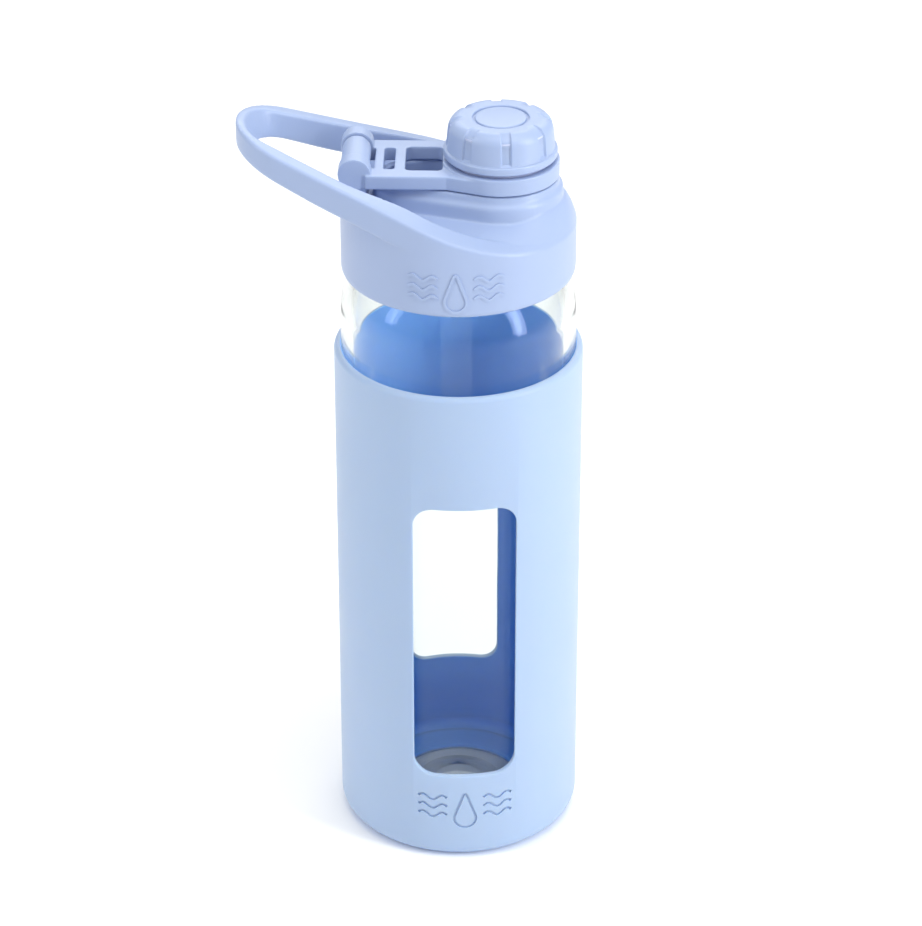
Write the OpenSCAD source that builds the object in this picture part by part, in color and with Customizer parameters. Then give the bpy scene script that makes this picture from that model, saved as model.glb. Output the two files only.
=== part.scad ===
// Glass water bottle in a silicone sleeve, with a screw lid that has a carry loop,
// a drinking spout and a tethered screw cap.
// Millimetres. The origin is on the bottle's axis, on the surface it stands on.
// +Z is up, the spout lies toward +X and the carry loop reaches out toward -X.

/* [Glass bottle] */
// Outer radius of the glass body
glass_r = 33; // [30:0.5:36]
// Thickness of the glass wall
glass_wall = 3.5; // [3:0.1:4]
// Height at which the body starts to curve in to the shoulder
shoulder_z = 164; // [162:0.5:166]
// Radius of the shoulder's curve
shoulder_r = 22; // [21:0.5:23]
// Outer radius of the neck
neck_r = 25; // [24.8:0.1:25.2]
// Height of the rim of the neck
rim_z = 189.5; // [189:0.1:190]

/* [Silicone sleeve] */
// Thickness of the sleeve's wall and floor
sleeve_wall = 2; // [1.5:0.1:2.2]
// Height of the sleeve
sleeve_h = 153; // [145:1:158]
// Radius of the round hole in the sleeve's floor
floor_hole_r = 19.5; // [10:0.5:24]
// Width of a window, straight across
window_w = 29; // [20:1:36]
// Height of a window
window_h = 89; // [60:1:100]
// Height of the lower edge of a window
window_z = 28.8; // [20:0.2:40]
// How far the sleeve is turned on the glass, in degrees
sleeve_turn = 4.4; // [-10:0.1:10]

/* [Lid] */
// Outer radius of the lid's collar
collar_r = 32.6; // [32:0.1:33]
// Height of the collar's lower edge
collar_z = 176.4; // [176:0.1:177]
// Thickness of the collar's wall
collar_wall = 2.4; // [2:0.1:2.6]
// Height of the collar's top edge under the spout side
deck_z = 192.4; // [192:0.1:193]
// Angle at which the carry loop rises, in degrees
loop_rise = 20.6; // [18:0.2:22]
// Radius of the loop's free end
loop_end_r = 18.5; // [16:0.5:19]
// Reach of the loop from the bottle's axis
loop_reach = 60.6; // [56:0.2:62]
// Width of the loop's bars
bar_w = 5.2; // [4:0.1:6]
// Height of the loop's bars
bar_h = 8.2; // [7:0.1:9]
// Travel of the lid for one turn on the glass thread
lid_lead = 6; // [6:0.1:6]

/* [Spout and cap] */
// Distance of the spout from the bottle's axis
spout_x = 11.5; // [11:0.1:11.6]
// Radius of the spout's bore
spout_bore_r = 8.9; // [8:0.1:9]
// Outer radius of the spout
spout_r = 10.9; // [10.8:0.1:11]
// Height of the spout's lip
lip_z = 216; // [215:0.1:216]
// Radius of the cap's foot ring
cap_foot_r = 15.6; // [15.4:0.1:15.8]
// Height of the cap's flat top
cap_top_z = 221.6; // [221.4:0.1:223]
// Number of grips round the cap
grip_count = 8; // [6:1:12]

/* [Tether arm] */
// Distance of the hinge from the bottle's axis
hinge_x = 28; // [27.5:0.1:28]
// Height of the hinge
hinge_z = 209; // [209:0.1:209.2]
// Radius of the arm's ring
ring_r = 16.2; // [16:0.1:16.5]
// Height of the arm's underside
arm_z = 205.1; // [205:0.1:205.2]
// Thickness of the arm's ring
arm_t = 4.6; // [4.6:0.1:4.8]
// Thickness of the arm's strap
strap_t = 3.9; // [3:0.1:4.6]
// Width of the arm's strap
strap_w = 24.4; // [22:0.1:26]
// Width across the hinge ears
ear_span = 23; // [21:0.1:24]
// Radius of the hinge pin
pin_r = 1.5; // [1.2:0.1:1.6]

/* [Hidden] */
$fn = 96;

// clearances
fit_gap = 0.1;      // between pieces that are pushed together for good
run_gap = 0.05;     // radial gap of the hinge pin in the lid's knuckle
free_gap = 0.35;    // between pieces that move past each other

// glass
glass_z = sleeve_wall;
glass_floor = 4.5;
heel_r = 4;
neck_bore_r = neck_r - glass_wall;
thread_h = 1.4;     // height of a thread ridge
thread_w = 1.3;     // width of a thread ridge at its root
thread_starts = 2;
thread_turns = 0.75;
glass_thread_z = 182.4;

// lid
liner_r = 28.6;                             // outside of the thread ring
liner_bore_r = neck_r + thread_h + 0.5;     // its bore, between the ridges
liner_z = 178.2;
ceiling_z = 191;                            // underside of the lid over the neck
loop_x = loop_end_r - loop_reach;           // centre of the loop's free end
left_deck_z = 199.5;                        // top of the collar under the hinge
mound_r = 16.7;                             // raised part under the arm's ring
mound_z = 204.7;                            // flat top round the spout
knuckle_w = 12.6;
knuckle_r = 4;
curve_x = -3;                               // where the rising edge becomes straight
curve_r = (collar_r + 2.4 - curve_x) / sin(loop_rise);

// cap, measured from the cap's own axis
core_r = 13.7;
core_bore_r = 12.5;
foot_z = 210.4;
foot_t = 2.2;
core_z = 205.4;
catch_r = 14.6;
catch_t = 1;
ring_bore_r = core_r + free_gap;
ring_step_r = catch_r + free_gap;
ring_web = 1.2;
disc_r = 7.4;
disc_t = 1;

blue = [0.71, 0.77, 0.92];
sleeve_blue = [0.74, 0.83, 0.95];

// A straight slab between two heights of a side outline drawn in X and Z
module side_slab(depth) {
    translate([0, depth / 2, 0]) rotate([90, 0, 0]) linear_extrude(depth) children();
}

module rounded_rect(w, h, r) {
    square([w - 2 * r, h], center = true);
    square([w, h - 2 * r], center = true);
    for (x = [-1, 1], y = [-1, 1])
        translate([x * (w / 2 - r), y * (h / 2 - r)]) circle(r);
}

// Two circles on the X axis and the straight tangents between them.
// The large circle is at big_x and the small one at small_x, to its left.
module teardrop(big_x, big_r, small_x, small_r) {
    lean = asin((big_r - small_r) / (big_x - small_x));
    translate([big_x, 0]) circle(big_r);
    translate([small_x, 0]) circle(small_r);
    polygon([for (side = [1, -1], end = side == 1 ? [0, 1] : [1, 0])
        let (x = end == 0 ? big_x : small_x, r = end == 0 ? big_r : small_r)
        [x - r * sin(lean), side * r * cos(lean)]]);
}

// One turning ridge of a thread. Its root circle is at root_r and its crest at crest_r,
// and it fades out at both ends.
module helix_ridge(root_r, crest_r, lead, turns, start_angle) {
    steps = ceil(turns * 40);
    fade = 0.06;
    function part_of(i) = i / steps;
    function swell(i) = min(1, min(part_of(i), 1 - part_of(i)) / fade);
    function ring(i) =
        let (
            a = start_angle + part_of(i) * turns * 360,
            z = part_of(i) * turns * lead,
            crest = root_r + (crest_r - root_r) * (0.15 + 0.85 * swell(i))
        )
        [for (p = [[root_r, -thread_w / 2], [crest, -thread_w / 5],
                   [crest, thread_w / 5], [root_r, thread_w / 2]])
            [p[0] * cos(a), p[0] * sin(a), z + p[1]]];
    points = [for (i = [0:steps]) each ring(i)];
    inward = crest_r < root_r;
    sides = [for (i = [0:steps - 1], j = [0:3])
        let (a = 4 * i + j, b = 4 * i + (j + 1) % 4, c = a + 4, d = b + 4)
        each [[a, c, d], [a, d, b]]];
    last = 4 * steps;
    ends = [[0, 1, 2], [0, 2, 3], [last, last + 2, last + 1], [last, last + 3, last + 2]];
    faces = concat(sides, ends);
    polyhedron(points, inward ? faces : [for (f = faces) [f[0], f[2], f[1]]]);
}

module glass_outline(inset, foot) {
    r = glass_r - inset;
    centre_r = glass_r - shoulder_r;
    corner = heel_r + (inset > 0 ? 2 : 0);
    translate([0, foot]) square([r - corner, shoulder_z - foot]);
    translate([0, foot + corner]) square([r, shoulder_z - foot - corner]);
    translate([r - corner, foot + corner]) circle(corner);
    intersection() {
        translate([centre_r, shoulder_z]) circle(shoulder_r - inset);
        translate([centre_r, shoulder_z - 1]) square([shoulder_r, shoulder_r]);
    }
    translate([0, shoulder_z - 1]) square([centre_r, shoulder_r - inset]);
}

module glass_bottle() color([0.86, 0.94, 0.92, 0.5]) {
    difference() {
        rotate_extrude() {
            intersection() {
                glass_outline(0, glass_z);
                square([glass_r, rim_z - 6]);
            }
            translate([0, shoulder_z]) square([neck_r, rim_z - 1 - shoulder_z]);
            translate([neck_bore_r, rim_z - 2]) square([glass_wall - 1, 2]);
            translate([neck_r - 1, rim_z - 1]) circle(1);
        }
        rotate_extrude() {
            intersection() {
                glass_outline(glass_wall, glass_z + glass_floor);
                square([glass_r, rim_z - 7]);
            }
            translate([0, shoulder_z]) square([neck_bore_r, rim_z]);
        }
        // the push-up under the base
        translate([0, 0, glass_z - 58.6]) sphere(60);
    }
    for (i = [0:thread_starts - 1])
        translate([0, 0, glass_thread_z])
            helix_ridge(neck_r - 0.4, neck_r + thread_h, lid_lead, thread_turns,
                i * 360 / thread_starts);
}

module silicone_sleeve() color(sleeve_blue) rotate(sleeve_turn) difference() {
    outer_r = glass_r + sleeve_wall;
    foot_r = 5;
    inner_r = 3;
    rotate_extrude() difference() {
        union() {
            square([outer_r - foot_r, sleeve_h]);
            translate([0, foot_r]) square([outer_r, sleeve_h - foot_r - sleeve_wall]);
            translate([outer_r - foot_r, foot_r]) circle(foot_r);
            translate([glass_r, sleeve_h - sleeve_wall]) circle(sleeve_wall);
        }
        translate([0, sleeve_wall]) square([glass_r - inner_r, sleeve_h]);
        translate([0, sleeve_wall + inner_r]) square([glass_r, sleeve_h]);
        translate([glass_r - inner_r, sleeve_wall + inner_r]) circle(inner_r);
        translate([0, -1]) square([floor_hole_r, sleeve_h]);
    }
    translate([0, 0, window_z + window_h / 2])
        side_slab(3 * outer_r) rounded_rect(window_w, window_h, 6);
}

// Side outline under the lid's top edge: level at the spout side, then a round
// stretch, then a straight rise to the end of the loop. It goes down by depth.
module top_edge(depth) {
    low_x = collar_r + 2.4;
    arc_steps = 12;
    arc_points = [for (i = [0:arc_steps])
        let (a = loop_rise * i / arc_steps)
        [low_x - curve_r * sin(a), deck_z + curve_r * (1 - cos(a))]];
    far = 70;
    run = far + curve_x;
    end_z = arc_points[arc_steps][1] + run * tan(loop_rise);
    edge = concat(arc_points, [[-far, end_z]]);
    polygon(concat(edge, [for (i = [len(edge) - 1:-1:0]) edge[i] - [0, depth]]));
}

// The loop's root lies just inside the collar's face
module loop_outline(inset) {
    root_r = collar_r - 0.3;
    teardrop(0, root_r - inset, loop_x, loop_end_r - inset);
}

module carry_loop() intersection() {
    translate([0, 0, collar_z]) linear_extrude(60) difference() {
        loop_outline(0);
        loop_outline(bar_w);
    }
    side_slab(80) top_edge(bar_h);
}

module collar() intersection() {
    translate([0, 0, collar_z]) rotate_extrude() {
        square([collar_r - 1.5, 60]);
        translate([0, 1.5]) square([collar_r, 60]);
        translate([collar_r - 1.5, 1.5]) circle(1.5);
    }
    side_slab(80) top_edge(30);
    translate([0, 0, collar_z]) cylinder(h = left_deck_z - collar_z, r = collar_r + 5);
}

// The raised part round the spout, and the spout
module mound() {
    translate([spout_x, 0, ceiling_z])
        cylinder(h = left_deck_z - ceiling_z, r1 = 21, r2 = 18);
    translate([0, 0, ceiling_z]) linear_extrude(left_deck_z - ceiling_z)
        teardrop(spout_x, 19, -14, 13);
    translate([0, 0, ceiling_z]) linear_extrude(mound_z - ceiling_z)
        teardrop(spout_x, mound_r, -13, 9.5);
    translate([spout_x, 0, ceiling_z]) rotate_extrude() {
        square([spout_r, lip_z - ceiling_z - 1]);
        square([spout_r - 1, lip_z - ceiling_z]);
        translate([spout_r - 1, lip_z - ceiling_z - 1]) circle(1);
        for (i = [0, 1])
            translate([spout_r - 0.5, 17.2 + 3 * i]) circle(1.1);
    }
}

module knuckle() {
    post_t = 6;
    translate([-hinge_x, 0, hinge_z]) rotate([90, 0, 0])
        cylinder(h = knuckle_w, r = knuckle_r, center = true);
    translate([-hinge_x - post_t / 2, -knuckle_w / 2, ceiling_z])
        cube([post_t, knuckle_w, hinge_z - ceiling_z]);
}

module lid_body() color(blue) difference() {
    union() {
        collar();
        carry_loop();
        mound();
        knuckle();
    }
    // room for the thread ring and the glass
    translate([0, 0, collar_z - 1]) cylinder(h = 12.1, r = collar_r - collar_wall);
    translate([0, 0, collar_z - 1]) cylinder(h = ceiling_z - collar_z + 1, r = liner_r + fit_gap);
    // the way to the spout
    translate([0, 0, ceiling_z - 1]) intersection() {
        linear_extrude(12.3) teardrop(spout_x, mound_r - 2.2, -11, 7);
        cylinder(h = 12.3, r = neck_bore_r);
    }
    translate([spout_x, 0, ceiling_z]) cylinder(h = 40, r = spout_bore_r);
    translate([-hinge_x, 0, hinge_z]) rotate([90, 0, 0])
        cylinder(h = knuckle_w + 2, r = pin_r + run_gap, center = true);
}

module thread_ring() color(blue) {
    difference() {
        translate([0, 0, liner_z]) cylinder(h = ceiling_z - liner_z, r = liner_r);
        translate([0, 0, liner_z - 1]) cylinder(h = 20, r = liner_bore_r);
        // lead-in for the shoulder of the glass
        translate([0, 0, liner_z - 0.01])
            cylinder(h = 1.2, r1 = liner_bore_r + 1, r2 = liner_bore_r);
    }
    for (i = [0:thread_starts - 1])
        translate([0, 0, glass_thread_z - lid_lead / thread_starts / 2])
            helix_ridge(liner_bore_r + 0.4, neck_r + 0.5, lid_lead, thread_turns,
                i * 360 / thread_starts);
}

module lid_gasket() color("white") translate([0, 0, rim_z + fit_gap]) difference() {
    cylinder(h = ceiling_z - rim_z - 2 * fit_gap, r = liner_bore_r - 2 * fit_gap);
    translate([0, 0, -1]) cylinder(h = 5, r = neck_bore_r + 0.3);
}

module tether_arm() color(blue) difference() {
    union() {
        translate([spout_x, 0, arm_z]) cylinder(h = arm_t, r = ring_r);
        // the strap flares into the ring
        translate([0, 0, arm_z]) linear_extrude(strap_t) {
            translate([-hinge_x + 3, -strap_w / 2]) square([35, strap_w]);
            polygon([[-3, strap_w / 2], [spout_x - 6, ring_r - 1.15],
                [spout_x - 6, 1.15 - ring_r], [-3, -strap_w / 2]]);
        }
        translate([-hinge_x, 0, hinge_z]) rotate([90, 0, 0])
            cylinder(h = ear_span, r = 4.5, center = true);
    }
    // the slot that the knuckle turns in
    slot_w = knuckle_w + 2 * free_gap;
    translate([-hinge_x - 6, -slot_w / 2, arm_z - 5]) cube([11.2, slot_w, 20]);
    // the two windows in the strap
    translate([-18.8, 0, arm_z - 1]) linear_extrude(10) rounded_rect(3, 13.9, 1);
    translate([-9.3, 0, arm_z - 1]) linear_extrude(10) rounded_rect(10.2, 15.1, 1.5);
    // the bore for the cap, stepped for its catch
    translate([spout_x, 0, arm_z - 1]) cylinder(h = 20, r = ring_bore_r);
    translate([spout_x, 0, arm_z - 1])
        cylinder(h = arm_t - ring_web + 1, r = ring_step_r);
    // the pin's bore: through the back ear, blind in the front one
    translate([-hinge_x, -8.5, hinge_z]) rotate([-90, 0, 0]) cylinder(h = 30, r = pin_r);
}

module hinge_pin() color("silver") translate([-hinge_x, -8.4, hinge_z]) rotate([-90, 0, 0])
    cylinder(h = 8.4 + ear_span / 2 - 0.2, r = pin_r);

module cap_shell() color(blue) translate([spout_x, 0, 0]) {
    wall_r = 15.2;
    top_r = 14.3;
    draft = atan((wall_r - top_r) / (cap_top_z - foot_z));
    difference() {
        union() {
            translate([0, 0, foot_z]) cylinder(h = foot_t, r = cap_foot_r);
            intersection() {
                translate([0, 0, foot_z])
                    cylinder(h = cap_top_z - foot_z, r1 = wall_r, r2 = top_r);
                translate([0, 0, foot_z]) rotate_extrude() {
                    square([wall_r + 1, cap_top_z - foot_z - 3.5]);
                    square([top_r - 3.5, cap_top_z - foot_z]);
                    translate([top_r - 3.5, cap_top_z - foot_z - 3.5]) circle(3.5);
                }
            }
        }
        translate([0, 0, foot_z - 1])
            cylinder(h = core_z + 15.3 - foot_z, r = core_r + fit_gap);
        translate([0, 0, cap_top_z - disc_t]) cylinder(h = 5, r = disc_r + 0.2);
        for (i = [0:grip_count - 1])
            rotate(i * 360 / grip_count - 82.7)
                translate([wall_r - 0.7, -1.35, foot_z + foot_t]) rotate([0, -draft, 0])
                    cube([4, 2.7, 20]);
    }
}

module cap_core() color("white") translate([spout_x, 0, 0]) difference() {
    union() {
        translate([0, 0, core_z]) cylinder(h = 14.1, r = core_r);
        translate([0, 0, core_z]) cylinder(h = catch_t, r = catch_r);
    }
    translate([0, 0, core_z - 1]) rotate_extrude() difference() {
        square([core_bore_r, 13.6]);
        for (i = [0, 1]) translate([core_bore_r + 0.5, 5.2 + 3 * i]) circle(1);
    }
}

module cap_seal() color("white") translate([spout_x, 0, lip_z + fit_gap])
    cylinder(h = 1.8, r = core_bore_r - fit_gap);

module cap_disc() color(blue) translate([spout_x, 0, cap_top_z - disc_t])
    cylinder(h = disc_t, r = disc_r);

glass_bottle();
silicone_sleeve();
lid_body();
thread_ring();
lid_gasket();
tether_arm();
hinge_pin();
cap_shell();
cap_core();
cap_seal();
cap_disc();
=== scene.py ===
import math

import bmesh
import bpy
from mathutils import Matrix, Vector


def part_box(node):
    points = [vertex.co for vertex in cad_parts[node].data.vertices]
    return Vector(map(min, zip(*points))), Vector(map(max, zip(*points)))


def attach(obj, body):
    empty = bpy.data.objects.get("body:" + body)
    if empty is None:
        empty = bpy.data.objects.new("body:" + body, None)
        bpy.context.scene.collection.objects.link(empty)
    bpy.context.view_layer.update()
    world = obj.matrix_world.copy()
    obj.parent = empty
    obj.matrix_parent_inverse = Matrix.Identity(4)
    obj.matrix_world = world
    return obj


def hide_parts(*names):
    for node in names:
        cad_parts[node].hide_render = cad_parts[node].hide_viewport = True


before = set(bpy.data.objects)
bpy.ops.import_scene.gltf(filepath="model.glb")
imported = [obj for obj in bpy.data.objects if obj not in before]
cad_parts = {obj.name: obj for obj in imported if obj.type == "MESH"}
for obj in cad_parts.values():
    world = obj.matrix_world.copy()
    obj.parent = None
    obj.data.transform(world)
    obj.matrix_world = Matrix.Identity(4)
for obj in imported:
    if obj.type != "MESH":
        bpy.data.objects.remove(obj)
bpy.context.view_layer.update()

# Shapes are drawn in millimetres on the bottle's axis and scaled to metres when a
# piece is finished.
MM = 0.001


# ---------------------------------------------------------------- sizes, in mm

def node_mm(name):
    """Lowest and highest corner of a CAD node, in millimetres."""
    low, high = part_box(name)
    return Vector(low) / MM, Vector(high) / MM


glass_low, glass_high = node_mm("glass_bottle")
sleeve_high = node_mm("silicone_sleeve")[1]
lid_low, lid_high = node_mm("lid_body")
cap_low, cap_high = node_mm("cap_shell")
pin_low, pin_high = node_mm("hinge_pin")

# the glass: its shoulder starts at SHOULDER_Z and curves in by SHOULDER_R
GLASS_R = glass_high.x
GLASS_WALL = 3.5
SHOULDER_Z = 164
SHOULDER_R = 22
NECK_R = 25
RIM_Z = glass_high.z
LID_LEAD = 6

# the sleeve and its two windows, which are turned a little on the glass
SLEEVE_R = sleeve_high.y
SLEEVE_TOP = sleeve_high.z
SLEEVE_TURN = math.radians(4.4)
WINDOW_W = 29
WINDOW_H = 89
WINDOW_Z = 28.8

# the collar and the carry loop, whose top edge is lowest at EDGE_LOW_X and slopes
# straight up to the left of EDGE_STRAIGHT_X
COLLAR_R = lid_high.x
COLLAR_Z = lid_low.z
LOOP_LEFT = lid_low.x
LOOP_END_R = 18.5
EDGE_LOW_X = 35
EDGE_LOW_Z = 192.4
EDGE_STRAIGHT_X = -3
EDGE_RISE = math.radians(20.6)

# the inside of the lid, the mound, the spout and the hinge
CEILING_Z = 191
MOUND_Z = 204.7
MOUND_LEFT_X = -13
SPOUT_X = (cap_low.x + cap_high.x) / 2
SPOUT_BORE_R = 8.9
HINGE_X = (pin_low.x + pin_high.x) / 2
HINGE_Z = (pin_low.z + pin_high.z) / 2


# ---------------------------------------------------------------- mesh helpers

def rounded(corners, closed=False, steps=6):
    """A polyline through corners (x, z, radius), each rounded by its radius."""
    points = []
    count = len(corners)
    for i, (x, z, radius) in enumerate(corners):
        here = Vector((x, z))
        ends = not closed and i in (0, count - 1)
        if ends or radius <= 0:
            points.append(here)
            continue
        before = (Vector(corners[i - 1][:2]) - here).normalized()
        after = (Vector(corners[(i + 1) % count][:2]) - here).normalized()
        half = before.angle(after) / 2
        reach = radius / math.tan(half)
        middle = here + (before + after).normalized() * (radius / math.sin(half))
        start = here + before * reach - middle
        turn = start.angle_signed(here + after * reach - middle)
        for k in range(steps + 1):
            points.append(middle + Matrix.Rotation(-turn * k / steps, 2) @ start)
    return points


def arc(cx, cz, radius, start, end, steps):
    """Points on an arc, with angles in degrees from the X axis."""
    return [
        Vector((
            cx + radius * math.cos(math.radians(start + (end - start) * k / steps)),
            cz + radius * math.sin(math.radians(start + (end - start) * k / steps)),
        ))
        for k in range(steps + 1)
    ]


def tidy(bm, gap=1e-4):
    """Merges points that coincide and turns every face outwards."""
    bmesh.ops.remove_doubles(bm, verts=bm.verts, dist=gap)
    bmesh.ops.recalc_face_normals(bm, faces=bm.faces)
    return bm


def lathe(points, steps=192, closed=False, at_x=0.0):
    """A profile in X and Z turned all the way round the axis at at_x."""
    bm = bmesh.new()
    verts = [bm.verts.new((at_x + p.x, 0, p.y)) for p in points]
    pairs = list(zip(verts, verts[1:]))
    if closed:
        pairs.append((verts[-1], verts[0]))
    edges = [bm.edges.new(pair) for pair in pairs]
    bmesh.ops.spin(
        bm, geom=verts + edges, cent=(at_x, 0, 0), axis=(0, 0, 1), dvec=(0, 0, 0),
        angle=2 * math.pi, steps=steps, use_merge=True, use_duplicate=False,
    )
    return tidy(bm)


def loft(loops, endless=False):
    """Closed rings of equal length, joined one to the next. The last one joins the
    first if endless, and otherwise both are filled."""
    bm = bmesh.new()
    rings = []
    for loop in loops:
        verts = [bm.verts.new(p) for p in loop]
        edges = [bm.edges.new((v, verts[(i + 1) % len(verts)])) for i, v in enumerate(verts)]
        rings.append(edges)
    for low, high in zip(rings, rings[1:] + rings[:1] if endless else rings[1:]):
        bmesh.ops.bridge_loops(bm, edges=low + high)
    if not endless:
        for ring in (rings[0], rings[-1]):
            bmesh.ops.triangle_fill(bm, edges=ring, use_beauty=True)
    return tidy(bm)


def block(low, high, bevel=0.0, steps=4, along=None):
    """A box between two corners. Its edges along one axis, or all of them, are rounded."""
    bm = bmesh.new()
    bmesh.ops.create_cube(bm, size=1)
    low, high = Vector(low), Vector(high)
    bmesh.ops.scale(bm, vec=high - low, verts=bm.verts)
    bmesh.ops.translate(bm, vec=(low + high) / 2, verts=bm.verts)
    if bevel:
        chosen = [
            e for e in bm.edges
            if along is None or abs((e.verts[0].co - e.verts[1].co).normalized()[along]) > 0.9
        ]
        bmesh.ops.bevel(
            bm, geom=chosen, offset=bevel, segments=steps, profile=0.5,
            affect="EDGES", material=-1,
        )
    return tidy(bm)


def rod(centre, radius, length, axis="Z", steps=64):
    """A plain round bar about a point, along X, Y or Z."""
    bm = bmesh.new()
    bmesh.ops.create_cone(
        bm, cap_ends=True, segments=steps, radius1=radius, radius2=radius, depth=length
    )
    turn = {"X": ("Y", 90), "Y": ("X", 90), "Z": ("Z", 0)}[axis]
    bmesh.ops.rotate(
        bm, verts=bm.verts, cent=(0, 0, 0),
        matrix=Matrix.Rotation(math.radians(turn[1]), 3, turn[0]),
    )
    bmesh.ops.translate(bm, vec=centre, verts=bm.verts)
    return tidy(bm)


def helix(root_r, crest_r, start_z, lead, turns, start_angle, at_x=0.0):
    """One right-handed thread ridge, swept up round an axis, with ends that fade out."""
    bm = bmesh.new()
    width = 1.3
    section = rounded([
        (root_r, start_z - width / 2, 0),
        (crest_r, start_z - width / 4, 0.3),
        (crest_r, start_z + width / 4, 0.3),
        (root_r, start_z + width / 2, 0),
    ], closed=True, steps=3)
    verts = [bm.verts.new((p.x, 0, p.y)) for p in section]
    face = bm.faces.new(verts)
    steps = int(turns * 72)
    bmesh.ops.spin(
        bm, geom=[face], cent=(0, 0, 0), axis=(0, 0, 1), dvec=(0, 0, turns * lead / steps),
        angle=turns * 2 * math.pi, steps=steps, use_merge=False, use_duplicate=False,
    )
    fade = math.radians(18)
    span = turns * 2 * math.pi
    for v in bm.verts:
        rise = (v.co.z - start_z) / lead * 2 * math.pi
        near_end = min(max(rise, 0), max(span - rise, 0)) / fade
        swell = 0.2 + 0.8 * min(1, near_end)
        r = math.hypot(v.co.x, v.co.y)
        wanted = root_r + (r - root_r) * swell
        v.co.x *= wanted / r
        v.co.y *= wanted / r
    bmesh.ops.rotate(
        bm, verts=bm.verts, cent=(0, 0, 0), matrix=Matrix.Rotation(start_angle, 3, "Z")
    )
    bmesh.ops.translate(bm, vec=(at_x, 0, 0), verts=bm.verts)
    return tidy(bm)


def blank(bm, name="blank"):
    """A working object, still in millimetres, that holds a bmesh."""
    mesh = bpy.data.meshes.new(name)
    bm.to_mesh(mesh)
    bm.free()
    obj = bpy.data.objects.new(name, mesh)
    bpy.context.scene.collection.objects.link(obj)
    return obj


def applied(obj):
    """Makes the object's modifiers part of its mesh."""
    graph = bpy.context.evaluated_depsgraph_get()
    mesh = bpy.data.meshes.new_from_object(obj.evaluated_get(graph))
    obj.modifiers.clear()
    obj.data = mesh
    return obj


def joined(base, operation, *others):
    """Adds other solids to base, or cuts them from it, and uses them up."""
    for other in others:
        change = base.modifiers.new("change", "BOOLEAN")
        change.operation = operation
        change.solver = "EXACT"
        change.object = other
        applied(base)
        bpy.data.objects.remove(other)
    return base


def softened(obj, grain, passes):
    """Rebuilds a solid as one even skin whose edges are rounded as in a mould."""
    sharp = obj.copy()
    bpy.context.scene.collection.objects.link(sharp)
    skin = obj.modifiers.new("skin", "REMESH")
    skin.mode = "VOXEL"
    skin.voxel_size = grain
    wrap = obj.modifiers.new("wrap", "SHRINKWRAP")
    wrap.target = sharp
    wrap.wrap_method = "NEAREST_SURFACEPOINT"
    round_off = obj.modifiers.new("round_off", "SMOOTH")
    round_off.factor = 0.5
    round_off.iterations = passes
    applied(obj)
    bpy.data.objects.remove(sharp)
    return obj


def cad_copy(node):
    """A merged copy of a CAD node's mesh, in millimetres, as a working object."""
    bm = bmesh.new()
    bm.from_mesh(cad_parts[node].data)
    bmesh.ops.scale(bm, vec=(1 / MM,) * 3, verts=bm.verts)
    bmesh.ops.remove_doubles(bm, verts=bm.verts, dist=1e-3)
    return blank(bm)


def piece(obj, name, body, material, slot, *nodes):
    """Scales a working object to metres, gives it its material and shading, and attaches it to
    its body.
    """
    obj.name = name
    obj.data.transform(Matrix.Scale(MM, 4))
    obj.data.materials.clear()
    obj.data.materials.append(material)
    bm = bmesh.new()
    bm.from_mesh(obj.data)
    for face in bm.faces:
        face.smooth = True
    for edge in bm.edges:
        edge.smooth = edge.calc_face_angle(0) < math.radians(35)
    bm.to_mesh(obj.data)
    bm.free()
    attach(obj, body)
    if nodes:
        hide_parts(*nodes)
    return obj


# ---------------------------------------------------------------- materials

def colour(code):
    """An sRGB hex colour as the linear values that a shader takes."""
    parts = [int(code[i:i + 2], 16) / 255 for i in (1, 3, 5)]
    linear = [c / 12.92 if c <= 0.04045 else ((c + 0.055) / 1.055) ** 2.4 for c in parts]
    return (*linear, 1)


def add(tree, kind, inputs=(), **settings):
    """Adds a node. inputs maps its sockets to values or to other nodes' outputs."""
    made = tree.nodes.new(kind)
    for name, value in settings.items():
        setattr(made, name, value)
    for name, value in dict(inputs).items():
        if isinstance(value, bpy.types.NodeSocket):
            tree.links.new(value, made.inputs[name])
        else:
            made.inputs[name].default_value = value
    return made


def new_material(name):
    """A material with an empty shader and Object coordinates, which are in metres."""
    made = bpy.data.materials.new(name)
    made.use_nodes = True
    tree = made.node_tree
    tree.nodes.clear()
    place = add(tree, "ShaderNodeTexCoord").outputs["Object"]
    return made, tree, place


def per_metre(size_mm):
    """The texture scale at which one cell of a pattern has this size."""
    return 1 / (size_mm * MM)


def finish_material(tree, shader, **others):
    """Joins the shader, and whatever else the output takes, to the material's output."""
    add(tree, "ShaderNodeOutputMaterial", {"Surface": shader.outputs["BSDF"], **others})


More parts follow.
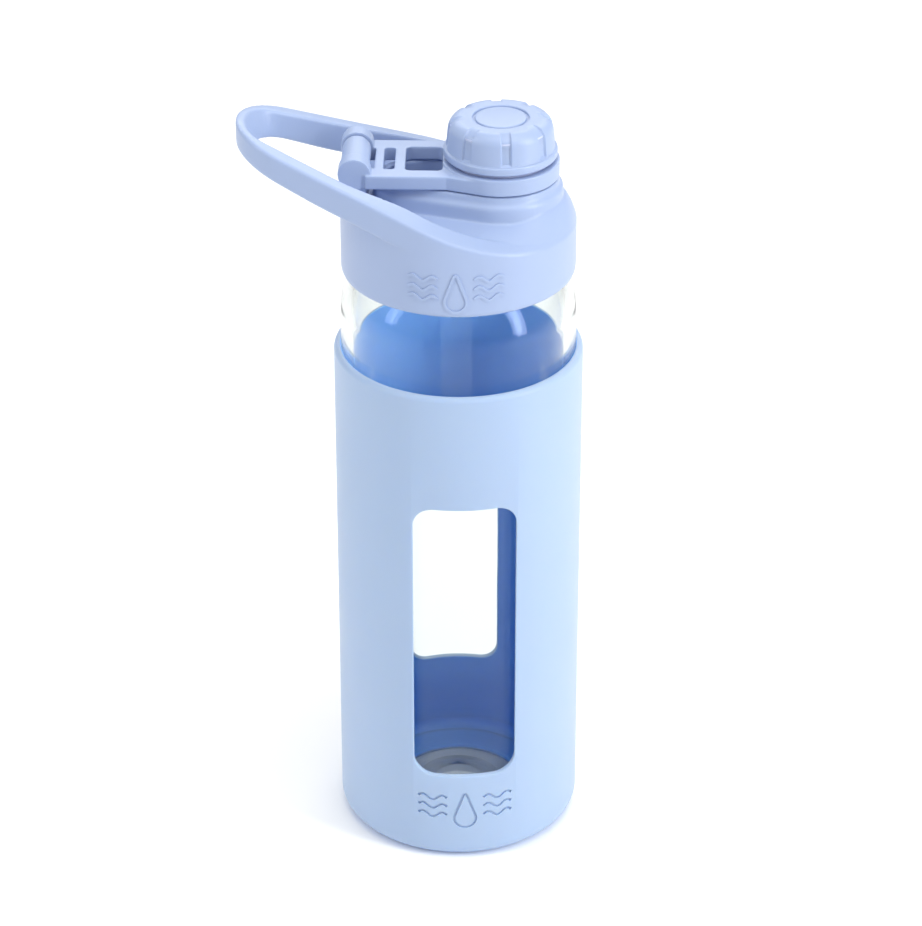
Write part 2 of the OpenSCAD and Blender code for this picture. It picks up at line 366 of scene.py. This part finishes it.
def moulded_polypropylene(name, code, roughness):
    """Injection-moulded polypropylene: a satin skin with the fine spark-eroded grain of
    the mould, a little light passing into the edges, and soft highlights."""
    made, tree, place = new_material(name)
    # 0.35 mm grain; the real one is about 0.1 mm, drawn coarser so that it shows
    grain = add(tree, "ShaderNodeTexNoise",
                {"Vector": place, "Scale": per_metre(0.35), "Detail": 3.0, "Roughness": 0.6})
    # slow flow of the melt, 25 mm across
    flow = add(tree, "ShaderNodeTexNoise",
               {"Vector": place, "Scale": per_metre(25), "Detail": 2.0, "Roughness": 0.5})
    base = colour(code)
    deeper = tuple(c * 0.965 for c in base[:3]) + (1,)
    tint = add(tree, "ShaderNodeMix", {"Factor": flow.outputs["Fac"], "A": base, "B": deeper},
               data_type="RGBA")
    wear = add(tree, "ShaderNodeMapRange",
               {"Value": grain.outputs["Fac"], "From Min": 0.3, "From Max": 0.7,
                "To Min": roughness - 0.05, "To Max": roughness + 0.06})
    bump = add(tree, "ShaderNodeBump",
               {"Height": grain.outputs["Fac"], "Strength": 0.16, "Distance": 0.06 * MM})
    shader = add(tree, "ShaderNodeBsdfPrincipled", {
        "Base Color": tint.outputs["Result"], "Roughness": wear.outputs["Result"],
        "IOR": 1.49, "Subsurface Weight": 0.12, "Subsurface Radius": (0.9, 1.1, 1.6),
        "Subsurface Scale": 0.8 * MM, "Normal": bump.outputs["Normal"],
    })
    finish_material(tree, shader)
    return made


def moulded_silicone(name, code, roughness, painted_inside_code=None, inner_r=0.0):
    """Compression-moulded silicone rubber: matte and slightly velvety, with a fine
    grain, a soft sheen at glancing angles and light that sinks in a little. Faces that
    lie within inner_r of the bottle's axis, in mm, get painted light: a deeper painted
    blue and a faint painted glow, standing in for the light that reaches them only
    through the coloured rubber."""
    made, tree, place = new_material(name)
    # 0.5 mm grain of the bead-blasted mould
    grain = add(tree, "ShaderNodeTexNoise",
                {"Vector": place, "Scale": per_metre(0.5), "Detail": 4.0, "Roughness": 0.65})
    # faint clouds of handling, 30 mm across
    cloud = add(tree, "ShaderNodeTexNoise",
                {"Vector": place, "Scale": per_metre(30), "Detail": 2.0, "Roughness": 0.5})
    base = colour(code)
    deeper = tuple(c * 0.97 for c in base[:3]) + (1,)
    tint = add(tree, "ShaderNodeMix", {"Factor": cloud.outputs["Fac"], "A": base, "B": deeper},
               data_type="RGBA")
    painted_glow_inputs = {}
    # painted light: the inside faces, away from the underside, get a deeper blue painted in
    # and a faint painted glow
    if painted_inside_code:
        flat = add(tree, "ShaderNodeVectorMath", {0: place, 1: (1, 1, 0)},
                   operation="MULTIPLY")
        radius = add(tree, "ShaderNodeVectorMath", {0: flat.outputs["Vector"]},
                     operation="LENGTH")
        outer = add(tree, "ShaderNodeMapRange", {
            "Value": radius.outputs["Value"], "From Min": (inner_r + 0.05) * MM,
            "From Max": (inner_r + 0.35) * MM,
        })
        height = add(tree, "ShaderNodeSeparateXYZ", {"Vector": place})
        under = add(tree, "ShaderNodeMapRange", {
            "Value": height.outputs["Z"], "From Min": 1.2 * MM, "From Max": 0.8 * MM,
        })
        plain = add(tree, "ShaderNodeMath", {
            0: outer.outputs["Result"], 1: under.outputs["Result"],
        }, operation="MAXIMUM")
        # painted colour: the deeper blue on the inside faces stands in for the light that
        # reaches them through the rubber and bounces inside the sleeve
        tint = add(tree, "ShaderNodeMix", {
            "Factor": plain.outputs["Value"], "A": colour(painted_inside_code),
            "B": tint.outputs["Result"],
        }, data_type="RGBA")
        # painted glow: a faint blue emission on the inside faces, standing in for the outside
        # light that comes through the blue wall
        painted_glow_strength = add(tree, "ShaderNodeMapRange", {
            "Value": plain.outputs["Value"], "To Min": 0.12, "To Max": 0.0,
        })
        painted_glow_inputs = {
            "Emission Color": colour("#2C7CFF"), "Emission Strength": painted_glow_strength.outputs["Result"],
        }
    dull = add(tree, "ShaderNodeMapRange",
               {"Value": cloud.outputs["Fac"], "From Min": 0.3, "From Max": 0.7,
                "To Min": roughness - 0.04, "To Max": roughness + 0.04})
    bump = add(tree, "ShaderNodeBump",
               {"Height": grain.outputs["Fac"], "Strength": 0.2, "Distance": 0.08 * MM})
    shader = add(tree, "ShaderNodeBsdfPrincipled", {
        "Base Color": tint.outputs["Result"], "Roughness": dull.outputs["Result"],
        "IOR": 1.41, "Subsurface Weight": 0.3, "Subsurface Radius": (0.6, 1.0, 1.6),
        "Subsurface Scale": 1.6 * MM, "Sheen Weight": 0.08, "Sheen Roughness": 0.5,
        "Normal": bump.outputs["Normal"], **painted_glow_inputs,
    })
    finish_material(tree, shader)
    return made


def soda_lime_glass():
    """Blown soda-lime glass: clear, with a faint green cast in its thick edges and the
    slow waves of a blown surface."""
    made, tree, place = new_material("soda_lime_glass")
    # waves 18 mm long and a few hundredths of a millimetre high
    waves = add(tree, "ShaderNodeTexNoise",
                {"Vector": place, "Scale": per_metre(18), "Detail": 1.0, "Roughness": 0.4})
    # fine haze of washing, 2 mm across
    haze = add(tree, "ShaderNodeTexNoise",
               {"Vector": place, "Scale": per_metre(2), "Detail": 3.0, "Roughness": 0.5})
    gloss = add(tree, "ShaderNodeMapRange",
                {"Value": haze.outputs["Fac"], "From Min": 0.35, "From Max": 0.7,
                 "To Min": 0.0, "To Max": 0.018})
    bump = add(tree, "ShaderNodeBump",
               {"Height": waves.outputs["Fac"], "Strength": 0.35, "Distance": 0.12 * MM})
    shader = add(tree, "ShaderNodeBsdfPrincipled", {
        "Base Color": colour("#F9FCFB"), "Roughness": gloss.outputs["Result"], "IOR": 1.52,
        "Specular Tint": (0.35, 0.42, 0.6, 1),
        "Transmission Weight": 1.0, "Normal": bump.outputs["Normal"],
    })
    # 22 mm of glass, as at the bottle's sides, pass about three quarters of the light
    depth = add(tree, "ShaderNodeVolumeAbsorption",
                {"Color": (0.72, 0.75, 0.745, 1), "Density": 55.0})
    finish_material(tree, shader, Volume=depth.outputs["Volume"])
    return made


def drawn_steel():
    """Drawn stainless steel wire: bright, with fine lines round the pin."""
    made, tree, place = new_material("drawn_stainless_steel")
    stretch = add(tree, "ShaderNodeMapping", {"Vector": place, "Scale": (1, 0.05, 1)})
    # lines 0.15 mm apart, along the pin
    lines = add(tree, "ShaderNodeTexNoise",
                {"Vector": stretch.outputs["Vector"], "Scale": per_metre(0.15), "Detail": 2.0})
    gloss = add(tree, "ShaderNodeMapRange",
                {"Value": lines.outputs["Fac"], "To Min": 0.22, "To Max": 0.4})
    bump = add(tree, "ShaderNodeBump",
               {"Height": lines.outputs["Fac"], "Strength": 0.2, "Distance": 0.02 * MM})
    shader = add(tree, "ShaderNodeBsdfPrincipled", {
        "Base Color": colour("#C9CACC"), "Metallic": 1.0,
        "Roughness": gloss.outputs["Result"], "Normal": bump.outputs["Normal"],
    })
    finish_material(tree, shader)
    return made


lid_plastic = moulded_polypropylene("satin_polypropylene", "#A1B3D6", 0.36)
liner_plastic = moulded_polypropylene("natural_polypropylene", "#C3CDEB", 0.45)
# the sleeve's inside faces get a painted deeper blue and a faint painted glow
sleeve_rubber = moulded_silicone("matte_silicone", "#A7BDDB", 0.42, "#86BAFF", GLASS_R)
seal_rubber = moulded_silicone("white_silicone", "#E4E8EC", 0.5)
glass = soda_lime_glass()
steel = drawn_steel()


# ---------------------------------------------------------------- glass bottle

def glass_bottle():
    """Thick-walled round bottle: push-up base, straight body, round shoulder and a
    finish with two thread starts."""
    foot = glass_low.z
    well_z = foot + 4.5
    centre_r = GLASS_R - SHOULDER_R
    inner_r = GLASS_R - GLASS_WALL
    bore_r = NECK_R - GLASS_WALL
    outer_turn = math.degrees(math.acos((NECK_R + 0.6 - centre_r) / SHOULDER_R))
    inner_curve = SHOULDER_R - GLASS_WALL
    inner_turn = math.degrees(math.acos((bore_r + 0.6 - centre_r) / inner_curve))
    base = rounded([
        (0, foot + 1.4, 0), (7, foot + 1.2, 8), (13, foot + 0.2, 4), (17, foot, 6),
        (GLASS_R, foot, 4), (GLASS_R, foot + 30, 0),
    ], steps=10)
    body = [Vector((GLASS_R, z)) for z in range(50, SHOULDER_Z, 16)]
    shoulder = arc(centre_r, SHOULDER_Z, SHOULDER_R, 0, outer_turn, 28)
    lip = rounded([
        (NECK_R + 0.6, shoulder[-1].y, 0), (NECK_R, shoulder[-1].y + 0.8, 1.2),
        (NECK_R, RIM_Z, 1.4), (bore_r, RIM_Z, 1.4), (bore_r, 182, 0),
    ], steps=8)
    inner_shoulder = arc(centre_r, SHOULDER_Z, inner_curve, inner_turn, 0, 28)
    inner_body = [Vector((inner_r, z)) for z in range(SHOULDER_Z - 10, 40, -16)]
    well = rounded([
        (inner_r, 30, 0), (inner_r, well_z, 6), (14, well_z + 0.2, 12), (0, well_z + 1.4, 0),
    ], steps=12)
    outline = base + body + shoulder + lip[1:] + inner_shoulder + inner_body + well
    vessel = blank(lathe(outline, steps=256))
    for start in (0, math.pi):
        ridge = blank(helix(NECK_R - 0.4, NECK_R + 1.35, 182.4, LID_LEAD, 0.75, start))
        joined(vessel, "UNION", ridge)
    # the thin wall lets light straight through to what is behind it
    vessel.visible_shadow = False
    return piece(vessel, "glass_vessel", "bottle", glass, "clear_glass", "glass_bottle")


# ---------------------------------------------------------------- sleeve

def wrapped(bm, radius):
    """Bends a flat drawing round the axis. X is the distance along the curve, Y the
    height above the surface, and the drawing's middle comes to face -Y."""
    for v in bm.verts:
        turn = v.co.x / radius
        out = radius + v.co.y
        v.co = Vector((out * math.sin(turn), -out * math.cos(turn), v.co.z))
    return tidy(bm)


def stroke(path, width, low, high, closed=False):
    """A line drawing's stroke of even width, as a solid between two heights."""
    bm = bmesh.new()
    count = len(path)
    sides = []
    for i, here in enumerate(path):
        before = path[i - 1] if closed or i else here
        after = path[(i + 1) % count] if closed or i < count - 1 else here
        along = (after - before).normalized()
        across = Vector((-along.y, along.x)) * width / 2
        sides.append((here + across, here - across))
    rings = []
    for a, b in sides:
        verts = [bm.verts.new(p) for p in (
            (a.x, low, a.y), (a.x, high, a.y), (b.x, high, b.y), (b.x, low, b.y))]
        rings.append([bm.edges.new((verts[k], verts[(k + 1) % 4])) for k in range(4)])
    for one, two in zip(rings, rings[1:]):
        bmesh.ops.bridge_loops(bm, edges=one + two)
    if closed:
        bmesh.ops.bridge_loops(bm, edges=rings[-1] + rings[0])
    else:
        for ring in (rings[0], rings[-1]):
            bmesh.ops.edgeloop_fill(bm, edges=ring)
    return tidy(bm)


def drop_outline(x, z, size):
    """A falling drop: round below, with a blunt point above."""
    round_r = 0.3 * size
    tip = z + 0.62 * size
    low = z - 0.28 * size
    lean = math.degrees(math.asin(round_r / (tip - low)))
    bowl = arc(x, low, round_r, 180 - lean, 360 + lean, 24)
    return rounded([(p.x, p.y, 0) for p in bowl] + [(x, tip, 0.5)], closed=True, steps=4)


def wave_line(x, z, length, height, waves):
    """A level row of waves about a point."""
    steps = 24
    return [
        Vector((x + length * (k / steps - 0.5),
                z + height * math.sin(2 * math.pi * waves * k / steps)))
        for k in range(steps + 1)
    ]


def water_mark(z, scale, width, low, high, radius):
    """A plain sign for water, of a drop between rows of waves, bent round a wall. Its
    strokes reach from low to high above the wall's surface."""
    marks = [(drop_outline(0, z - scale, 10.5 * scale), True)]
    for side in (-1, 1):
        for row in (-1, 0, 1):
            line = wave_line(side * 9.6 * scale, z + row * 3 * scale,
                             8.6 * scale, 0.8 * scale, 1.5)
            marks.append((line, False))
    return [blank(wrapped(stroke(path, width, low, high, closed), radius))
            for path, closed in marks]


def silicone_sleeve():
    """Moulded tube with a rounded foot, an open floor, a rounded lip and a long window
    on two sides. The mark below the front window is pressed 0.5 mm in."""
    wall = SLEEVE_R - GLASS_R
    section = rounded([
        (19.5, 0, 0.7), (SLEEVE_R, 0, 5), (SLEEVE_R, SLEEVE_TOP, 1.6),
        (GLASS_R + 0.02, SLEEVE_TOP, 0.35), (GLASS_R + 0.02, wall, 3), (19.5, wall, 0.6),
    ], closed=True, steps=8)
    sleeve = blank(lathe(section, steps=256, closed=True))
    joined(sleeve, "DIFFERENCE", *water_mark(18.4, 1.0, 0.8, -0.5, 1, SLEEVE_R))
    reach = 2 * SLEEVE_R
    window = block(
        (-WINDOW_W / 2, -reach, WINDOW_Z), (WINDOW_W / 2, reach, WINDOW_Z + WINDOW_H),
        bevel=6, steps=10, along=1,
    )
    joined(sleeve, "DIFFERENCE", blank(window))
    bm = bmesh.new()
    bm.from_mesh(sleeve.data)
    rim = [
        e for e in bm.edges
        if WINDOW_Z - 1 < e.verts[0].co.z < WINDOW_Z + WINDOW_H + 1
        and len(e.link_faces) == 2 and e.calc_face_angle() > math.radians(40)
    ]
    bmesh.ops.bevel(
        bm, geom=rim, offset=0.45, segments=3, profile=0.5, affect="EDGES", material=-1
    )
    bm.to_mesh(sleeve.data)
    bm.free()
    sleeve.data.transform(Matrix.Rotation(SLEEVE_TURN, 4, "Z"))
    return piece(sleeve, "sleeve_skin", "bottle", sleeve_rubber, "sleeve_silicone",
                 "silicone_sleeve")


# ---------------------------------------------------------------- lid

def edge_height(x):
    """Height of the lid's top edge: level under the spout, then curving up to a
    straight slope out to the end of the carry loop."""
    run = EDGE_LOW_X - x
    flat = EDGE_LOW_X - EDGE_STRAIGHT_X
    curve = flat / math.sin(EDGE_RISE)
    if run <= flat:
        return EDGE_LOW_Z + curve - math.sqrt(curve ** 2 - run ** 2)
    return EDGE_LOW_Z + curve * (1 - math.cos(EDGE_RISE)) + (run - flat) * math.tan(EDGE_RISE)


def teardrop(big_x, big_r, small_x, small_r, steps=48):
    """Outline round two circles on the X axis, as (point, outward normal) stations.
    Offsets of the same outline share their stations."""
    lean = math.asin((big_r - small_r) / (big_x - small_x))
    first = math.pi / 2 + lean
    stations = []
    for k in range(steps + 1):
        a = -first + 2 * first * k / steps
        n = Vector((math.cos(a), math.sin(a)))
        stations.append((Vector((big_x, 0)) + n * big_r, n))
    small = []
    for k in range(steps // 2 + 1):
        a = first + 2 * (math.pi - first) * k / (steps // 2)
        n = Vector((math.cos(a), math.sin(a)))
        small.append((Vector((small_x, 0)) + n * small_r, n))
    straight = steps // 3

    def between(a, b):
        return [(a[0].lerp(b[0], k / straight), a[1]) for k in range(1, straight)]

    return stations + between(stations[-1], small[0]) + small + between(small[-1], stations[0])


def blend(x, start, end):
    """Eases from 0 at start to 1 at end."""
    t = min(max((x - start) / (end - start), 0), 1)
    return t * t * (3 - 2 * t)


def strip_width(x):
    """How far the sloping strip on the band's top reaches inwards."""
    bar = 2.8 + 2.4 * blend(x, -60, -50)
    return bar + 1.3 * blend(x, -33, -15) - 4.2 * blend(x, 8, 28)


def strip_rise(x):
    """How much higher the strip's inner edge lies than its outer edge."""
    return 0.5 + 1.2 * blend(x, -33, -15) - 0.6 * blend(x, 0, 14)


def band_section(x, width, rise):
    """The band's cross-section as inset and height, from its outer face over the strip
    and down the inner face."""
    edge = edge_height(x)
    slope = rise / width
    foot = 4.9 + 1.6 * blend(x, -33, -15)
    under = edge - 7.5 - blend(x, -58, -34)
    crown = edge + rise
    return [
        (0, under + 0.9), (0, edge - 0.8), (0.12, edge - 0.35), (0.4, edge - 0.04),
        (0.9, edge + 0.9 * slope), (width - 0.7, crown - 0.7 * slope),
        (width - 0.2, crown - 0.2), (width, crown - 0.8), (foot, under + 0.8),
        (foot - 0.8, under), (0.8, under),
    ]


def loop_band():
    """The band that is the collar's rim at the right and the carry loop at the left."""
    sections = []
    for point, normal in teardrop(0, COLLAR_R, LOOP_LEFT + LOOP_END_R, LOOP_END_R):
        width, rise = strip_width(point.x), strip_rise(point.x)
        section = []
        for k, (inset, _) in enumerate(band_section(point.x, width, rise)):
            p = point - normal * inset
            section.append((p.x, p.y, band_section(p.x, width, rise)[k][1]))
        sections.append(section)
    return loft(list(zip(*sections)), endless=True)


def collar_solid():
    """The collar below its ceiling, filled."""
    section = rounded([
        (0, COLLAR_Z, 0), (COLLAR_R, COLLAR_Z, 1.6), (COLLAR_R, CEILING_Z, 0),
        (0, CEILING_Z, 0),
    ], steps=6)
    return blank(lathe(section, steps=192))


def deck_solid():
    """The deck between the mound's foot and the collar's wall. It falls away gently in
    front and steeply, like a shoulder, under the spout side."""
    levels = [0, 0.1, 0.2, 0.3, 0.4, 0.5, 0.6, 0.7, 0.8, 0.88, 0.94, 0.98, 1]
    rings = [[] for _ in range(len(levels) + 1)]
    for point, normal in teardrop(SPOUT_X, 17.9, MOUND_LEFT_X, 11.1):
        along = point.dot(normal)
        reach = math.sqrt(along ** 2 - point.length_squared + COLLAR_R ** 2) - along
        wall = point + normal * reach
        top = 197.5 + 1.1 * blend(point.x, 14, 27)
        low = min(edge_height(wall.x) - 2.2, 194.5 + 5 * blend(-wall.x, 0, 20))
        for ring, t in zip(rings, levels):
            here = point.lerp(wall, t)
            drop = 0.5 * (1 - math.sqrt(1 - t * t)) + 0.5 * t
            ring.append((here.x, here.y, top + (low - top) * drop))
        rings[-1].append((wall.x, wall.y, CEILING_Z - 2))
    return loft(rings)


def mound_solid():
    """The raised part under the tether arm: a bevelled step over a nearly upright wall."""
    levels = [
        (CEILING_Z - 1, 17.7, 10.9), (197.5, 17.5, 10.7), (199.2, 17.35, 10.5),
        (201.2, 17.3, 10.4), (201.9, 17.1, 10.2), (202.5, 16.4, 9.6), (203.2, 16.1, 9.3),
        (MOUND_Z - 0.2, 16.0, 9.1), (MOUND_Z, 15.9, 8.9),
    ]
    rings = []
    for z, big_r, small_r in levels:
        stations = teardrop(SPOUT_X, big_r, MOUND_LEFT_X, small_r)
        rings.append([(p.x, p.y, z) for p, n in stations])
    return loft(rings)


def lid_body():
    """Collar, carry loop, deck, mound and hinge knuckle, moulded in one."""
    knuckle_w = 12.6
    knuckle = rod((HINGE_X, 0, HINGE_Z), 4, knuckle_w, axis="Y")
    post = block((HINGE_X - 3, -knuckle_w / 2, 194), (HINGE_X + 3, knuckle_w / 2, HINGE_Z))
    # the hollow behind the spout, under the tether arm's windows
    pocket_line = teardrop(-7.5, 8.4, MOUND_LEFT_X, 6.8)
    pocket = loft([[(p.x, p.y, z) for p, n in pocket_line] for z in (197.5, 208)])
    room = rod((0, 0, COLLAR_Z + 5), COLLAR_R - 2.4, 12.2, steps=128)
    seat = rod((0, 0, CEILING_Z - 10), 28.7, 20, steps=128)
    way = rod((SPOUT_X, 0, 205), SPOUT_BORE_R, 40)
    bore = rod((HINGE_X, 0, HINGE_Z), 1.55, 16, axis="Y", steps=32)
    lid = collar_solid()
    joined(lid, "UNION", blank(deck_solid()), blank(mound_solid()), blank(loop_band()),
           blank(post), blank(knuckle))
    joined(lid, "DIFFERENCE", blank(pocket), blank(room), blank(seat),
           blank(way), blank(bore))
    softened(lid, 0.49, 4)
    return piece(lid, "lid_moulding", "lid", lid_plastic, "lid_plastic", "lid_body")


def drinking_spout():
    """Round spout with a rolled lip and a two-start thread, part of the lid's moulding."""
    spout_r = 10.9
    section = rounded([
        (SPOUT_BORE_R, MOUND_Z - 1.5, 0), (spout_r, MOUND_Z - 1.5, 0), (spout_r, 216, 0.9),
        (SPOUT_BORE_R, 216, 0.9),
    ], closed=True, steps=6)
    spout = blank(lathe(section, steps=128, closed=True, at_x=SPOUT_X))
    for start in (0, math.pi):
        ridge = blank(helix(spout_r - 0.3, 11.5, 207.8, 4, 0.8, start, at_x=SPOUT_X))
        joined(spout, "UNION", ridge)
    return piece(spout, "drinking_spout", "lid", lid_plastic, "lid_plastic")


def collar_mark():
    """The water sign raised 0.35 mm on the collar's front."""
    parts = water_mark(185.2, 0.95, 0.75, -0.3, 0.3, COLLAR_R)
    mark = joined(parts[0], "UNION", *parts[1:])
    return piece(mark, "collar_mark", "lid", lid_plastic, "lid_plastic")


# ---------------------------------------------------------------- tether arm and cap

def tether_arm():
    """Strap with two windows, hinge ears and a ring under the cap. It has the CAD's
    shape, with the edges rounded as in a mould."""
    arm = softened(cad_copy("tether_arm"), 0.26, 5)
    return piece(arm, "tether_strap", "arm", lid_plastic, "lid_plastic", "tether_arm")


def cap_shell():
    """Screw cap: a foot ring, a slightly tapered wall with eight shallow grips that run
    over the rounded top edge, and a seat for the disc."""
    foot_z, wall_z, top_z = cap_low.z + 0.3, 213.1, cap_high.z
    grip_w, grip_d, grips = 2.7, 0.65, 8
    section = rounded([
        (13.8, foot_z, 0.3), (15.6, foot_z, 0.6), (15.6, wall_z, 0.6),
        (14.95, wall_z, 0.25), (14.1, top_z, 3.4), (7.7, top_z, 0.4),
        (7.7, top_z - 0.6, 0), (0.0, top_z - 0.6, 0),
    ], steps=10)
    inside = rounded([
        (0.0, foot_z + 8.4, 0), (13.8, foot_z + 8.4, 0.6), (13.8, foot_z + 0.3, 0),
    ], steps=4)
    wall = []
    for a, b in zip(section, section[1:] + [section[-1]]):
        cuts = max(1, int((a - b).length / 0.4))
        wall += [a.lerp(b, k / cuts) for k in range(cuts)]
    bm = lathe(wall + [section[-1]] + inside, steps=720, at_x=SPOUT_X)
    first = math.radians(-83.3)
    pitch = 2 * math.pi / grips
    for v in bm.verts:
        x, y = v.co.x - SPOUT_X, v.co.y
        r = math.hypot(x, y)
        foot_or_top = v.co.z < wall_z - 0.1 or r < 9
        inner_wall = v.co.z < foot_z + 8.5 and r < 13.9
        if foot_or_top or inner_wall:
            continue
        away = (math.atan2(y, x) - first + pitch / 2) % pitch - pitch / 2
        edge = min(max((grip_w / 2 - abs(away) * r) / 0.35 + 0.5, 0), 1)
        start = blend(v.co.z, wall_z, wall_z + 0.5)
        over = blend(r, 9.6, 12.8)
        depth = grip_d * edge * start * over
        high = blend(v.co.z, top_z - 3, top_z)
        v.co.x -= depth * (1 - 0.6 * high) * x / r
        v.co.y -= depth * (1 - 0.6 * high) * y / r
        v.co.z -= depth * 0.75 * high
    return piece(blank(bm), "cap_cover", "cap", lid_plastic, "lid_plastic", "cap_shell")


def cap_disc():
    """Round plate let into the cap's top, with a soft edge."""
    top_z = cap_high.z
    section = rounded([
        (0, top_z - 1, 0), (7.1, top_z - 1, 0), (7.1, top_z - 0.05, 0.5), (0, top_z - 0.05, 0),
    ], steps=6)
    disc = blank(lathe(section, steps=128, at_x=SPOUT_X))
    return piece(disc, "cap_plate", "cap", lid_plastic, "lid_plastic", "cap_disc")


glass_bottle()
silicone_sleeve()
lid_body()
drinking_spout()
collar_mark()
tether_arm()
cap_shell()
cap_disc()

# CAD nodes that are used in their own shape
for node, finish in {
    "thread_ring": liner_plastic, "cap_core": liner_plastic, "lid_gasket": seal_rubber,
    "cap_seal": seal_rubber, "hinge_pin": steel,
}.items():
    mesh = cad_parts[node].data
    mesh.materials.clear()
    mesh.materials.append(finish)


# ---------------------------------------------------------------- stage

def floor():
    """A plain pale board that the bottle stands on."""
    bm = bmesh.new()
    bmesh.ops.create_grid(bm, x_segments=1, y_segments=1, size=3000)
    plane = blank(bm, "floor")
    plane.data.transform(Matrix.Scale(MM, 4))
    made, tree, place = new_material("pale_painted_board")
    mottle = add(tree, "ShaderNodeTexNoise", {"Vector": place, "Scale": per_metre(60)})
    dull = add(tree, "ShaderNodeMapRange",
               {"Value": mottle.outputs["Fac"], "To Min": 0.7, "To Max": 0.85})
    shader = add(tree, "ShaderNodeBsdfPrincipled",
                 {"Base Color": colour("#FCFCFC"), "Roughness": dull.outputs["Result"],
                  "Specular IOR Level": 0.1})
    finish_material(tree, shader)
    plane.data.materials.append(made)


def softbox(name, place, target, width, height, power):
    """A soft white lamp of this size, aimed at a point and hidden from the camera."""
    lamp = bpy.data.lights.new(name, "AREA")
    lamp.shape = "RECTANGLE"
    lamp.size = width
    lamp.size_y = height
    lamp.energy = power
    obj = bpy.data.objects.new(name, lamp)
    bpy.context.scene.collection.objects.link(obj)
    obj.location = place
    aim = Vector(target) - Vector(place)
    obj.rotation_euler = aim.to_track_quat("-Z", "Y").to_euler()
    obj.visible_camera = False


def camera():
    """In front, a little above, looking slightly down on the bottle."""
    lens = bpy.data.cameras.new("camera")
    lens.lens = 138.2
    lens.sensor_width = 36
    lens.clip_start = 0.05
    lens.clip_end = 20
    obj = bpy.data.objects.new("camera", lens)
    bpy.context.scene.collection.objects.link(obj)
    turn = math.radians(1.3)
    pitch = math.radians(29.46)
    place = Matrix.Rotation(turn, 3, "Z") @ Vector((0.0007, -0.886, 0.614))
    obj.location = place
    obj.rotation_euler = (math.pi / 2 - pitch, 0, turn)
    bpy.context.scene.camera = obj


floor()
middle = (0, 0, 0.12)
softbox("left_box", (-0.75, -0.3, 0.6), middle, 0.16, 0.8, 2.5)
softbox("right_box", (0.75, -0.4, 0.45), middle, 0.18, 0.8, 5.2)
softbox("top_box", (0.15, -0.2, 1.1), middle, 0.9, 0.9, 5.6)
softbox("floor_box", (0, 1.0, 0.9), (0, 0.7, 0), 1.4, 0.5, 7)

world = bpy.data.worlds.new("studio")
bpy.context.scene.world = world
world.use_nodes = True
sky = world.node_tree.nodes["Background"]
sky.inputs["Color"].default_value = (1, 1, 1, 1)
sky.inputs["Strength"].default_value = 0.48
bpy.context.scene.view_settings.view_transform = "Standard"
# light has to cross both glass walls several times to fill the sleeve
bpy.context.scene.cycles.max_bounces = 32
bpy.context.scene.cycles.transmission_bounces = 32
bpy.context.scene.cycles.diffuse_bounces = 24

camera()
